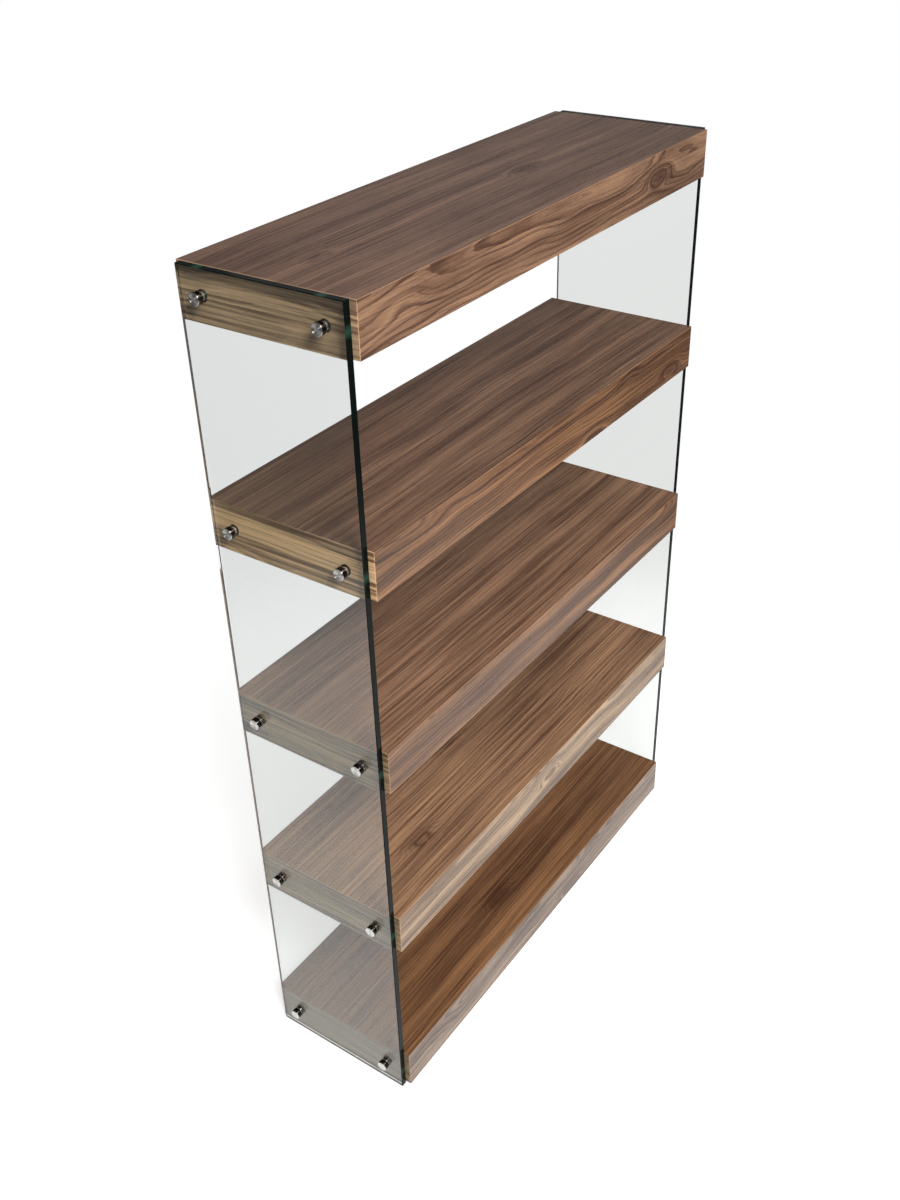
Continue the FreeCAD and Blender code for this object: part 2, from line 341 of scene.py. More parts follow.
def glass_edge():
    """Polished edge of float glass: it looks along the whole panel, so it is near black.

    Each drilled hole scatters light along the panel, so a green glint lies level with it; that
    glint is a painted highlight in the edge's colour. From outside the near black is painted on
    as an opaque dark face, since clear glass here would mirror the white floor.
    """
    material, tree, shader = new_material("polished_float_glass_edge", IOR=1.52,
                                          Roughness=0.05, Specular_IOR_Level=0.05)
    place = node(tree, "ShaderNodeTexCoord").outputs["Object"]
    streak = node(tree, "ShaderNodeTexNoise", {
        "Vector": node(tree, "ShaderNodeVectorMath", [place, (160.0, 6.0, 6.0)],
                       operation="MULTIPLY"), "Scale": 1.0, "Detail": 2.0})
    base = node(tree, "ShaderNodeMix", {"Factor": streak.outputs["Fac"],
                                        6: colour("#040807"), 7: colour("#0D1613")},
                data_type="RGBA")
    # painted highlight: the edge's colour turns green level with each fixing and beside it
    split = node(tree, "ShaderNodeSeparateXYZ", [place])
    low, high = fixing_heights()
    pitch = (high - low) / (len(SHELVES) - 1)
    rise = node(tree, "ShaderNodeMath", [split.outputs["Z"], low - pitch / 2],
                operation="SUBTRACT")
    level = node(tree, "ShaderNodeMath", [rise, pitch], operation="FLOORED_MODULO")
    level = node(tree, "ShaderNodeMath", [level, pitch / 2], operation="SUBTRACT")
    beside = node(tree, "ShaderNodeMath", [split.outputs["Y"]], operation="ABSOLUTE")
    beside = node(tree, "ShaderNodeMath", [beside, fixing_y()], operation="SUBTRACT")
    off = [node(tree, "ShaderNodeMath", [value], operation="ABSOLUTE")
           for value in (level, beside)]
    painted_gleam = node(tree, "ShaderNodeMapRange",
                 {"Value": node(tree, "ShaderNodeMath", off, operation="MINIMUM"),
                  "From Min": 0.0, "From Max": PAINTED_GLEAM_REACH, "To Min": 0.6, "To Max": 0.0},
                 interpolation_type="SMOOTHSTEP")
    tint = node(tree, "ShaderNodeMix", {"Factor": painted_gleam, 6: base.outputs[2],
                                        7: colour("#2C4A3E")}, data_type="RGBA")
    # from inside the pane the edge is clear glass, a mirror to light that meets it at a slant
    inside = node(tree, "ShaderNodeNewGeometry").outputs["Backfacing"]
    tint = node(tree, "ShaderNodeMix", {"Factor": inside, 6: tint.outputs[2],
                                        7: colour("#FFFFFF")}, data_type="RGBA")
    tree.links.new(tint.outputs[2], shader.inputs["Base Color"])
    tree.links.new(inside, shader.inputs["Transmission Weight"])
    return material


def turned_stainless():
    """Stainless steel, faced on a lathe: fine rings that pull highlights into a bow tie."""
    material, tree, shader = new_material("turned_stainless_steel", Metallic=1.0,
                                          Anisotropic=1.0, Anisotropic_Rotation=0.25)
    turning = node(tree, "ShaderNodeUVMap", uv_map="turning")
    out = node(tree, "ShaderNodeSeparateXYZ", [turning]).outputs["Y"]
    # the tool marks are about four times as far apart as real ones, to show
    mark = node(tree, "ShaderNodeTexNoise",
                {"W": node(tree, "ShaderNodeMath", [out, 1.0 / TOOL_MARK], operation="MULTIPLY"),
                 "Scale": 1.0, "Detail": 2.0}, noise_dimensions="1D")
    tint = node(tree, "ShaderNodeMix", {"Factor": mark.outputs["Fac"],
                                        6: colour("#C2BFBA"), 7: colour("#EFECE7")},
                data_type="RGBA")
    # the face is left as turned; the side is polished, and its dark colour is a
    # painted reflection of a dark room round it
    facing = node(tree, "ShaderNodeSeparateXYZ",
                  [node(tree, "ShaderNodeNewGeometry").outputs["Normal"]])
    facing = node(tree, "ShaderNodeMath", [facing.outputs["X"]], operation="ABSOLUTE")
    tint = node(tree, "ShaderNodeMix", {"Factor": facing, 6: colour("#45423F"),
                                        7: tint.outputs[2]}, data_type="RGBA")
    tree.links.new(tint.outputs[2], shader.inputs["Base Color"])
    gloss = node(tree, "ShaderNodeMath", [facing, 0.16, 0.14], operation="MULTIPLY_ADD")
    gloss = node(tree, "ShaderNodeMath", [mark.outputs["Fac"], 0.08, gloss],
                 operation="MULTIPLY_ADD")
    tree.links.new(gloss.outputs[0], shader.inputs["Roughness"])
    relief = node(tree, "ShaderNodeBump", {"Strength": 0.15, "Distance": 0.00003,
                                           "Height": mark.outputs["Fac"]})
    tree.links.new(relief.outputs[0], shader.inputs["Normal"])
    lay = node(tree, "ShaderNodeTangent", direction_type="UV_MAP", uv_map="turning")
    tree.links.new(lay.outputs[0], shader.inputs["Tangent"])
    return material


def black_rubber():
    """Punched sheet rubber: near black, matt, with a faint bloom."""
    material, tree, shader = new_material("black_rubber", Roughness=0.7, IOR=1.52)
    bloom = mottle(tree, shader, 600.0, 3.0, "#0C0C0C", "#262524")
    relief = node(tree, "ShaderNodeBump", {"Strength": 0.2, "Distance": 0.0001,
                                           "Height": bloom})
    tree.links.new(relief.outputs[0], shader.inputs["Normal"])
    return material


def natural_nylon():
    """Extruded natural nylon: milky and translucent."""
    material, tree, shader = new_material("natural_nylon", IOR=1.53, Roughness=0.35,
                                          Transmission_Weight=0.55)
    mottle(tree, shader, 250.0, 2.0, "#CFCFC6", "#E9E8E0")
    return material


def plated_metal(name, dark, light, roughness):
    """Machined or plated metal with a soft mottle, 2 mm across."""
    material, tree, shader = new_material(name, Metallic=1.0)
    cloud = mottle(tree, shader, 500.0, 2.0, dark, light)
    gloss = node(tree, "ShaderNodeMath", [cloud, 0.2, roughness], operation="MULTIPLY_ADD")
    tree.links.new(gloss.outputs[0], shader.inputs["Roughness"])
    return material


def sawn_pine():
    """Sawn softwood, not finished: pale, with rings 3 mm apart along its length."""
    material, tree, shader = new_material("sawn_pine", IOR=1.5)
    place = node(tree, "ShaderNodeTexCoord").outputs["Object"]
    rings = node(tree, "ShaderNodeTexWave", {
        "Vector": node(tree, "ShaderNodeVectorMath", [place, (8.0, 3.0, 55.0)],
                       operation="MULTIPLY"),
        "Scale": 1.0, "Distortion": 6.0, "Detail": 2.0, "Detail Scale": 0.6},
        wave_type="BANDS", bands_direction="Z")
    tint = node(tree, "ShaderNodeMix", {"Factor": rings.outputs["Fac"],
                                        6: colour("#D9B985"), 7: colour("#B98C55")},
                data_type="RGBA")
    tree.links.new(tint.outputs[2], shader.inputs["Base Color"])
    fuzz = node(tree, "ShaderNodeTexNoise", {"Vector": place, "Scale": 900.0})
    gloss = node(tree, "ShaderNodeMath", [fuzz.outputs["Fac"], 0.2, 0.65],
                 operation="MULTIPLY_ADD")
    tree.links.new(gloss.outputs[0], shader.inputs["Roughness"])
    relief = node(tree, "ShaderNodeBump", {"Strength": 0.3, "Distance": 0.0003,
                                           "Height": fuzz.outputs["Fac"]})
    tree.links.new(relief.outputs[0], shader.inputs["Normal"])
    return material


# ---- places read from the CAD model -----------------------------------------------------
def fixing_y():
    """Distance of the fixings from the middle of the depth."""
    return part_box("standoff_caps_left")[1].y - CAP_DIAMETER / 2


def fixing_heights():
    """Heights of the lowest and highest fixings."""
    low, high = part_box("standoff_caps_left")
    return low.z + CAP_DIAMETER / 2, high.z - CAP_DIAMETER / 2


def shelf_box(number):
    """Lowest and highest corner of a whole shelf."""
    boxes = [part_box(f"shelf_{number}_{face}") for face in FACES]
    low = Vector([min(box[0][i] for box in boxes) for i in range(3)])
    high = Vector([max(box[1][i] for box in boxes) for i in range(3)])
    return low, high


# ---- shelf boards -----------------------------------------------------------------------
# Each face: outward direction, turn from lying flat, axes along and across the grain.
QUARTER = math.pi / 2
FACES = {
    "top_board": ((0, 0, 1), (0, 0, 0), 0, 1),
    "bottom_board": ((0, 0, -1), (math.pi, 0, 0), 0, 1),
    "front_board": ((0, -1, 0), (QUARTER, 0, 0), 0, 2),
    "back_board": ((0, 1, 0), (-QUARTER, 0, 0), 0, 2),
    "end_board_left": ((-1, 0, 0), (QUARTER, 0, -QUARTER), 1, 2),
    "end_board_right": ((1, 0, 0), (QUARTER, 0, QUARTER), 1, 2),
}

# How each face's veneer was cut: depth of the cut from the heart, place of the heart line
# across the leaf, and how far the log bends; then strength of the bands and of the streaks,
# and the share of knots.
FLAT_CUT = ((0.080, 0.26, 0.07), (0.70, 1.0, 0.05))
END_CUT = ((0.026, -0.030, 0.09), (-1.0, 2.6, 0.03))
CUTS = {
    "top_board": FLAT_CUT,
    "bottom_board": FLAT_CUT,
    "front_board": ((0.014, 0.036, 0.17), (1.25, 0.45, 0.22)),
    "back_board": ((0.016, 0.034, 0.17), (1.3, 0.45, 0.15)),
    "end_board_left": END_CUT,
    "end_board_right": END_CUT,
}

# Walnut varies from leaf to leaf, with the tree and with how near the sapwood it was cut.
# Each leaf colour also holds painted light: a shelf is lighter or darker for how light falls
# on it, and the greyer top of the top shelf is a painted sheen.
LEAF_AND_PAINTED_LIGHT_COLOURS = {
    "smoky_with_painted_sheen": "#664C3E", "dark": "#705442", "russet": "#785438", "brown": "#80604A",
    "warm": "#8C6A50", "dun": "#866C58", "grey": "#7C6858", "umber": "#6C5842",
    "olive": "#7C664C", "tan": "#92785E", "pale": "#AA8A68",
}

# The leaf on each shelf, with its painted light, from the lowest to the highest.
END_LEAVES_WITH_PAINTED_LIGHT = ("umber", "olive", "olive", "pale", "tan")
LEAVES_WITH_PAINTED_LIGHT = {
    "top_board": ("russet", "warm", "brown", "dark", "smoky_with_painted_sheen"),
    "bottom_board": ("brown",) * len(SHELVES),
    "front_board": ("grey", "tan", "russet", "russet", "brown"),
    "back_board": ("dun",) * len(SHELVES),
    "end_board_left": END_LEAVES_WITH_PAINTED_LIGHT,
    "end_board_right": END_LEAVES_WITH_PAINTED_LIGHT,
}

# How streaky the leaves of each shelf are.
STREAKS = (1.2, 1.25, 1.1, 1.0, 0.7)

BOARD_SIZES = ("Length", "Width", "Thickness", "Arris")


def rectangle_corners(tree, place, sizes, inset):
    """Where the four corners of a tube move to, X and Y: a rectangle drawn in by inset."""
    corners = []
    for operation, size in zip(("SUBTRACT", "ADD"), sizes):
        side = node(tree, "ShaderNodeMath", [place.outputs["X"], place.outputs["Y"]],
                    operation=operation)
        side = node(tree, "ShaderNodeMath", [side], operation="SIGN")
        half = node(tree, "ShaderNodeMath", [size, 0.5], operation="MULTIPLY")
        half = node(tree, "ShaderNodeMath", [half, inset], operation="SUBTRACT")
        corners.append(node(tree, "ShaderNodeMath", [side, half], operation="MULTIPLY"))
    return corners


def board_tree():
    """Board with mitred edges and a rounded arris, lying flat with its show face up."""
    tree, given = geometry_tree("mitred_board", dict.fromkeys(BOARD_SIZES, "Float"))
    length, width, thickness, arris, _ = given.outputs
    rings = ARRIS_STEPS + 1
    block = node(tree, "GeometryNodeMeshCylinder",
                 {"Vertices": 4, "Side Segments": rings, "Radius": 1.0, "Depth": 1.0})
    place = node(tree, "ShaderNodeSeparateXYZ", [node(tree, "GeometryNodeInputPosition")])

    # ring 0 is the show face, the next ones go round the arris, the last is the inner face
    ring = node(tree, "ShaderNodeMath", [place.outputs["Z"], -float(rings), rings / 2.0],
                operation="MULTIPLY_ADD")
    angle = node(tree, "ShaderNodeMath", [ring, math.pi / 4 / ARRIS_STEPS],
                 operation="MULTIPLY")
    is_inner = node(tree, "ShaderNodeMath", [ring, ARRIS_STEPS + 0.5],
                    operation="GREATER_THAN")
    steps = []
    for operation in ("SINE", "COSINE"):
        wave = node(tree, "ShaderNodeMath", [angle], operation=operation)
        rest = node(tree, "ShaderNodeMath", [1.0, wave], operation="SUBTRACT")
        rounded = node(tree, "ShaderNodeMath", [rest, arris], operation="MULTIPLY")
        steps.append(node(tree, "ShaderNodeMix", [is_inner, None, rounded, thickness]))
    inset, depth = steps

    corners = rectangle_corners(tree, place, (length, width), inset)
    down = node(tree, "ShaderNodeMath", [depth, -1.0], operation="MULTIPLY")
    board = node(tree, "GeometryNodeSetPosition", {
        "Geometry": block.outputs["Mesh"],
        "Position": node(tree, "ShaderNodeCombineXYZ", [*corners, down])})

    node(tree, "NodeGroupOutput", [board])
    return tree


def placed_board_tree(board, bored):
    """A mitred board turned into place; with bores for two inserts if bored is true."""
    inputs = {**dict.fromkeys(BOARD_SIZES, "Float"), "Leaf Start": "Vector",
              "Figure": "Vector", "Tone": "Vector", "Tint": "Vector", "Bore Spacing": "Float",
              "Place": "Vector", "Turn": "Rotation", "Veneer": "Material"}
    tree, given = geometry_tree("bored_end_board" if bored else "placed_board", inputs)
    made = node(tree, "GeometryNodeGroup", node_tree=board)
    for name in BOARD_SIZES:
        tree.links.new(given.outputs[name], made.inputs[name])
    shape = made.outputs[0]
    if bored:
        ends = node(tree, "GeometryNodeMeshLine",
                    {"Count": 2, "Start Location": node(tree, "ShaderNodeCombineXYZ", [
                        node(tree, "ShaderNodeMath", [given.outputs["Bore Spacing"], -0.5],
                             operation="MULTIPLY"), 0.0, 0.0]),
                     "Offset": node(tree, "ShaderNodeCombineXYZ",
                                    [given.outputs["Bore Spacing"], 0.0, 0.0])})
        bits = [node(tree, "GeometryNodeMeshCylinder",
                     {"Vertices": HOLE_SIDES, "Radius": diameter / 2, "Depth": depth})
                for diameter, depth in (
                    (INSERT_DIAMETER + 2 * INSERT_BORE_CLEARANCE, 4 * BOARD_THICKNESS),
                    (INSERT_RIM_DIAMETER + 2 * INSERT_BORE_CLEARANCE,
                     2 * (INSERT_RIM_THICKNESS + INSERT_BORE_CLEARANCE)))]
        drill = node(tree, "GeometryNodeJoinGeometry", {"Geometry": bits})
        drills = node(tree, "GeometryNodeInstanceOnPoints",
                      {"Points": ends, "Instance": drill})
        drills = node(tree, "GeometryNodeRealizeInstances", [drills])
        shape = node(tree, "GeometryNodeMeshBoolean",
                     {"Mesh 1": shape, "Mesh 2": drills, "Self Intersection": True},
                     operation="DIFFERENCE", solver="EXACT").outputs["Mesh"]
    # the veneer leaf, in metres, bent round the arris
    spread = node(tree, "ShaderNodeVectorMath",
                  [node(tree, "GeometryNodeInputPosition"), given.outputs["Leaf Start"]],
                  operation="ADD")
    shape = node(tree, "GeometryNodeStoreNamedAttribute",
                 {"Geometry": shape, "Name": "veneer", "Value": spread},
                 data_type="FLOAT2", domain="CORNER")
    # the eased edges, where sanding has cut to paler wood, with a painted highlight along them
    reach = node(tree, "ShaderNodeSeparateXYZ",
                 [node(tree, "ShaderNodeVectorMath",
                       [node(tree, "GeometryNodeInputPosition")], operation="ABSOLUTE")])
    rims_with_painted_highlight = []
    for axis, name in (("X", "Length"), ("Y", "Width")):
        half = node(tree, "ShaderNodeMath", [given.outputs[name], 0.5], operation="MULTIPLY")
        flat_part = node(tree, "ShaderNodeMath", [given.outputs["Arris"], -0.98, half],
                         operation="MULTIPLY_ADD")
        rims_with_painted_highlight.append(node(tree, "ShaderNodeMath", [reach.outputs[axis], flat_part],
                         operation="GREATER_THAN"))
    shape = node(tree, "GeometryNodeStoreNamedAttribute",
                 {"Geometry": shape, "Name": "arris",
                  "Value": node(tree, "ShaderNodeMath", rims_with_painted_highlight, operation="MAXIMUM")},
                 data_type="FLOAT", domain="POINT")
    for name in ("Figure", "Tone", "Tint"):
        shape = node(tree, "GeometryNodeStoreNamedAttribute",
                     {"Geometry": shape, "Name": name.lower(), "Value": given.outputs[name]},
                     data_type="FLOAT_VECTOR", domain="POINT")
    flat = node(tree, "GeometryNodeSetShadeSmooth", {"Geometry": shape, "Shade Smooth": False})
    turned = node(tree, "GeometryNodeTransform", {
        "Geometry": flat, "Translation": given.outputs["Place"],
        "Rotation": given.outputs["Turn"]})
    real = node(tree, "GeometryNodeRealizeInstances", [turned])
    painted = node(tree, "GeometryNodeSetMaterial",
                   {"Geometry": real, "Material": given.outputs["Veneer"]})
    node(tree, "NodeGroupOutput", [painted])
    return tree


def make_shelves(veneer):
    board = board_tree()
    plain, bored = (placed_board_tree(board, drilled) for drilled in (False, True))
    for number in SHELVES:
        low, high = shelf_box(number)
        centre, size = (low + high) / 2, high - low
        for index, (face, (outward, turn, along, across)) in enumerate(FACES.items()):
            chance = random.Random(100 * number + index)
            (depth, heart, bend), (bands, streaks, knots) = CUTS[face]
            half = Vector([outward[i] * size[i] / 2 for i in range(3)])
            name = f"shelf_{number}_{face}"
            piece = run_tree(name + "_veneered", bored if along == 1 else plain, {
                "Length": size[along], "Width": size[across],
                "Thickness": BOARD_THICKNESS, "Arris": BOARD_ARRIS,
                "Leaf Start": (chance.uniform(0, 40), 0, 0),
                "Figure": (depth * chance.uniform(0.7, 1.4),
                           heart + chance.uniform(-0.015, 0.015), bend),
                "Tone": (bands, streaks * STREAKS[number - 1], knots),
                # the leaf's colour, with the painted light of its shelf
                "Tint": colour(LEAF_AND_PAINTED_LIGHT_COLOURS[LEAVES_WITH_PAINTED_LIGHT[face][number - 1]])[:3],
                "Bore Spacing": 2 * fixing_y(),
                "Place": centre + half, "Turn": turn, "Veneer": veneer})
            settle(piece, name)


# ---- glass panels -----------------------------------------------------------------------
def eased_levels(tree, thickness, ease):
    """For a tube of 3 rows of faces, 1 high: its levels' heights, and how far each eases in."""
    place = node(tree, "ShaderNodeSeparateXYZ", [node(tree, "GeometryNodeInputPosition")])
    start = place.outputs["Z"]
    is_end = node(tree, "ShaderNodeMath", [node(tree, "ShaderNodeMath", [start],
                                                operation="ABSOLUTE"), 0.3],
                  operation="GREATER_THAN")
    eased = node(tree, "ShaderNodeMath", [is_end, ease], operation="MULTIPLY")
    short = node(tree, "ShaderNodeMath", [ease, eased], operation="SUBTRACT")
    half = node(tree, "ShaderNodeMath", [thickness, 0.5], operation="MULTIPLY")
    half = node(tree, "ShaderNodeMath", [half, short], operation="SUBTRACT")
    side = node(tree, "ShaderNodeMath", [start], operation="SIGN")
    return place, node(tree, "ShaderNodeMath", [side, half], operation="MULTIPLY"), eased


def panel_tree():
    """Upright pane with two columns of drilled holes, its thickness along X.

    It is laid flat and then turned up: two filled faces, a rim and a sleeve in each hole.
    """
    tree, given = geometry_tree("drilled_panel", {
        "Width": "Float", "Height": "Float", "Thickness": "Float", "Arris": "Float",
        "Hole Diameter": "Float", "Hole Arris": "Float", "Hole Spacing": "Float",
        "Hole Rise": "Float", "Rows": "Int", "Place": "Vector", "Glass": "Material",
        "Edge": "Material"})
    (width, height, thickness, arris, bore, bore_arris, spacing, rise, rows, stand, glass,
     edge, _) = given.outputs
    radius = node(tree, "ShaderNodeMath", [bore, 0.5], operation="MULTIPLY")
    grid = node(tree, "GeometryNodeMeshGrid",
                {"Size X": spacing, "Size Y": rise, "Vertices X": 2, "Vertices Y": rows})

    tube = node(tree, "GeometryNodeMeshCylinder",
                {"Vertices": 4, "Side Segments": 3, "Radius": 1.0, "Depth": 1.0},
                fill_type="NONE")
    place, level, eased = eased_levels(tree, thickness, arris)
    corners = rectangle_corners(tree, place, (width, height), eased)
    rim = node(tree, "GeometryNodeSetPosition", {
        "Geometry": tube, "Position": node(tree, "ShaderNodeCombineXYZ", [*corners, level])})
    rim = node(tree, "GeometryNodeSetMaterial", {"Geometry": rim, "Material": edge})

    tube = node(tree, "GeometryNodeMeshCylinder",
                {"Vertices": HOLE_SIDES, "Side Segments": 3, "Radius": 1.0, "Depth": 1.0},
                fill_type="NONE")
    place, level, eased = eased_levels(tree, thickness, bore_arris)
    wide = node(tree, "ShaderNodeMath", [radius, eased], operation="ADD")
    round_place = [node(tree, "ShaderNodeMath", [place.outputs[axis], wide],
                        operation="MULTIPLY") for axis in ("X", "Y")]
    sleeve = node(tree, "GeometryNodeSetPosition", {
        "Geometry": tube,
        "Position": node(tree, "ShaderNodeCombineXYZ", [*round_place, level])})
    sleeve = node(tree, "GeometryNodeFlipFaces", [sleeve])
    sleeves = node(tree, "GeometryNodeInstanceOnPoints", {"Points": grid,
                                                          "Instance": sleeve})

    hole = node(tree, "GeometryNodeCurvePrimitiveCircle", {
        "Resolution": HOLE_SIDES,
        "Radius": node(tree, "ShaderNodeMath", [radius, bore_arris], operation="ADD")},
                mode="RADIUS")
    holes = node(tree, "GeometryNodeInstanceOnPoints", {"Points": grid,
                                                        "Instance": hole.outputs["Curve"]})
    inner = [node(tree, "ShaderNodeMath", [arris, -2.0, size], operation="MULTIPLY_ADD")
             for size in (width, height)]
    outline = node(tree, "GeometryNodeCurvePrimitiveQuadrilateral",
                   {"Width": inner[0], "Height": inner[1]}, mode="RECTANGLE")
    holes = node(tree, "GeometryNodeRealizeInstances", [holes])
    lines = node(tree, "GeometryNodeJoinGeometry", {"Geometry": [outline, holes]})
    face = node(tree, "GeometryNodeFillCurve", [lines])

    parts = [sleeves]
    for side, shape in ((0.5, face), (-0.5, node(tree, "GeometryNodeFlipFaces", [face]))):
        lift = node(tree, "ShaderNodeMath", [thickness, side], operation="MULTIPLY")
        parts.append(node(tree, "GeometryNodeTransform", {
            "Geometry": shape,
            "Translation": node(tree, "ShaderNodeCombineXYZ", [0.0, 0.0, lift])}))
    clear = node(tree, "GeometryNodeJoinGeometry", {"Geometry": parts})
    clear = node(tree, "GeometryNodeRealizeInstances", [clear])
    clear = node(tree, "GeometryNodeSetMaterial", {"Geometry": clear, "Material": glass})
    whole = node(tree, "GeometryNodeJoinGeometry", {"Geometry": [clear, rim]})
    whole = node(tree, "GeometryNodeMergeByDistance", {"Geometry": whole, "Distance": WELD})
    whole = node(tree, "GeometryNodeSetShadeSmooth", {"Geometry": whole,
                                                      "Shade Smooth": False})
    upright = node(tree, "GeometryNodeTransform", {
        "Geometry": whole, "Rotation": (QUARTER, 0, QUARTER), "Translation": stand})
    node(tree, "NodeGroupOutput", [upright])
    return tree


def make_glass(glass, edge):
    tree = panel_tree()
    low_hole, high_hole = fixing_heights()
    for name in SIDES:
        low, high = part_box("glass_panel_" + name)
        size = high - low
        piece = run_tree(f"glass_panel_{name}_polished", tree, {
            "Width": size.y, "Height": size.z, "Thickness": size.x, "Arris": GLASS_ARRIS,
            "Hole Diameter": GLASS_HOLE_DIAMETER, "Hole Arris": GLASS_HOLE_ARRIS,
            "Hole Spacing": 2 * fixing_y(), "Hole Rise": high_hole - low_hole,
            "Rows": len(SHELVES), "Place": (low + high) / 2, "Glass": glass,
            "Edge": edge})
        settle(piece, "glass_panel_" + name)


# ---- standoff fixings -------------------------------------------------------------------
def arc(centre, radius, start, end, steps=4):
    """Points of a round stretch of an outline, from angle start to end in degrees."""
    angles = [math.radians(start + (end - start) * i / steps) for i in range(steps + 1)]
    return [(centre[0] + radius * math.cos(a), centre[1] + radius * math.sin(a))
            for a in angles]


def outline_mesh(name, points, closed):
    """A line of (place along the axis, radius) points, as a mesh of edges."""
    edges = [(i, i + 1) for i in range(len(points) - 1)]
    if closed:
        edges.append((len(points) - 1, 0))
    mesh = bpy.data.meshes.new(name)
    mesh.from_pydata([(radius, along, 0.0) for along, radius in points], edges, [])
    return mesh


def turned_tree():
    """Turns an outline about X and sets a copy at every fixing of one end panel."""
    tree, given = geometry_tree("turned_fixings", {
        "Outline": "Geometry", "Sides": "Int", "Spacing": "Float", "Rise": "Float",
        "Rows": "Int", "Place": "Vector", "Facing": "Float", "Finish": "Material"})
    outline, sides, spacing, rise, rows, place, facing, finish, _ = given.outputs
    line = node(tree, "GeometryNodeMeshToCurve", [outline])
    line = node(tree, "GeometryNodeTransform", {"Geometry": line,
                                                "Translation": (-HUB_RADIUS, 0.0, 0.0)})
    along_line = node(tree, "GeometryNodeSplineParameter")
    line = node(tree, "GeometryNodeStoreNamedAttribute",
                {"Geometry": line, "Name": "out", "Value": along_line.outputs["Length"]},
                data_type="FLOAT", domain="POINT")
    rim = node(tree, "GeometryNodeCurvePrimitiveCircle", {"Resolution": sides,
                                                          "Radius": HUB_RADIUS},
               mode="RADIUS")
    round_rim = node(tree, "GeometryNodeStoreNamedAttribute",
                     {"Geometry": rim, "Name": "round",
                      "Value": node(tree, "GeometryNodeSplineParameter").outputs["Factor"]},
                     data_type="FLOAT", domain="POINT")
    turned = node(tree, "GeometryNodeCurveToMesh", {"Curve": round_rim,
                                                    "Profile Curve": line})
    spots = [node(tree, "GeometryNodeInputNamedAttribute", {"Name": name},
                  data_type="FLOAT").outputs["Attribute"] for name in ("round", "out")]
    turned = node(tree, "GeometryNodeStoreNamedAttribute",
                  {"Geometry": turned, "Name": "turning",
                   "Value": node(tree, "ShaderNodeCombineXYZ", [*spots, 0.0])},
                  data_type="FLOAT2", domain="CORNER")
    turned = node(tree, "GeometryNodeMergeByDistance", {"Geometry": turned,
                                                        "Distance": HUB_WELD})
    sharp = node(tree, "ShaderNodeMath",
                 [node(tree, "GeometryNodeInputMeshEdgeAngle").outputs["Unsigned Angle"],
                  SHARP_ANGLE], operation="GREATER_THAN")
    smooth = node(tree, "GeometryNodeSetShadeSmooth",
                  {"Geometry": turned, "Shade Smooth": True}, domain="FACE")
    smooth = node(tree, "GeometryNodeSetShadeSmooth",
                  {"Geometry": smooth, "Selection": sharp, "Shade Smooth": False},
                  domain="EDGE")
    # the circle's axis is Z: laid along X, and turned to face its own side
    upright = node(tree, "GeometryNodeTransform", {"Geometry": smooth,
                                                   "Rotation": (0.0, QUARTER, 0.0)})
    spin = node(tree, "ShaderNodeCombineXYZ", [0.0, 0.0, facing])
    upright = node(tree, "GeometryNodeTransform", {"Geometry": upright, "Rotation": spin})

    grid = node(tree, "GeometryNodeMeshGrid",
                {"Size X": spacing, "Size Y": rise, "Vertices X": 2, "Vertices Y": rows})
    grid = node(tree, "GeometryNodeTransform", {
        "Geometry": grid, "Rotation": (QUARTER, 0, QUARTER), "Translation": place})
    copies = node(tree, "GeometryNodeInstanceOnPoints", {"Points": grid,
                                                         "Instance": upright})
    real = node(tree, "GeometryNodeRealizeInstances", [copies])
    painted = node(tree, "GeometryNodeSetMaterial", {"Geometry": real, "Material": finish})
    node(tree, "NodeGroupOutput", [painted])
    return tree


def cap_outline(start, end):
    """Rounded rim, shallow dish in the face, blind bore behind."""
    rim, dish, bore = CAP_DIAMETER / 2, CAP_DISH_DIAMETER / 2, CAP_BORE_DIAMETER / 2
    back = arc((start + CAP_BACK_RADIUS, rim - CAP_BACK_RADIUS), CAP_BACK_RADIUS, 180, 90)
    front = arc((end - CAP_RIM_RADIUS, rim - CAP_RIM_RADIUS), CAP_RIM_RADIUS, 90, 0)
    step = arc((end, dish), CAP_DISH_DEPTH, 90, 180)
    return [(start + CAP_BORE_DEPTH, 0.0), (start + CAP_BORE_DEPTH, bore), (start, bore),
            *back, *front, *step, (end - CAP_DISH_DEPTH, 0.0)]


def washer_outline(start, end, outer, inner, edge):
    """Cross-section of a washer or bush with slightly rounded outer edges."""
    return [(end, inner / 2), (start, inner / 2),
            *arc((start + edge, outer / 2 - edge), edge, 180, 90, 3),
            *arc((end - edge, outer / 2 - edge), edge, 90, 0, 3)]


def insert_outline(start, end):
    """Rimmed insert with coarse barbs that bite the wood."""
    bore, shank, rim = BORE_DIAMETER / 2, INSERT_DIAMETER / 2, INSERT_RIM_DIAMETER / 2
    points = [(end, bore), (start, bore), (start, shank - INSERT_NOSE_TAPER)]
    barb_length = (end - INSERT_RIM_THICKNESS - start) / INSERT_BARBS
    for i in range(INSERT_BARBS):
        foot = start + i * barb_length
        points += [(foot + 0.8 * barb_length, shank), (foot + barb_length, shank - BARB_DEPTH)]
    return points + [(end - INSERT_RIM_THICKNESS, rim), (end, rim)]


def stud_outline(start, end):
    """Stud with rolled thread; the crests stand at its full diameter."""
    crest, root = STUD_DIAMETER / 2, STUD_DIAMETER / 2 - THREAD_DEPTH
    turns = int((end - start - 2 * THREAD_PITCH) / THREAD_PITCH)
    lead = (end - start - turns * THREAD_PITCH) / 2
    points = [(start, 0.0), (start, root)]
    for i in range(turns):
        foot = start + lead + i * THREAD_PITCH
        points += [(foot, root), (foot + THREAD_PITCH / 2, crest)]
    return points + [(end - lead, root), (end, root), (end, 0.0)]


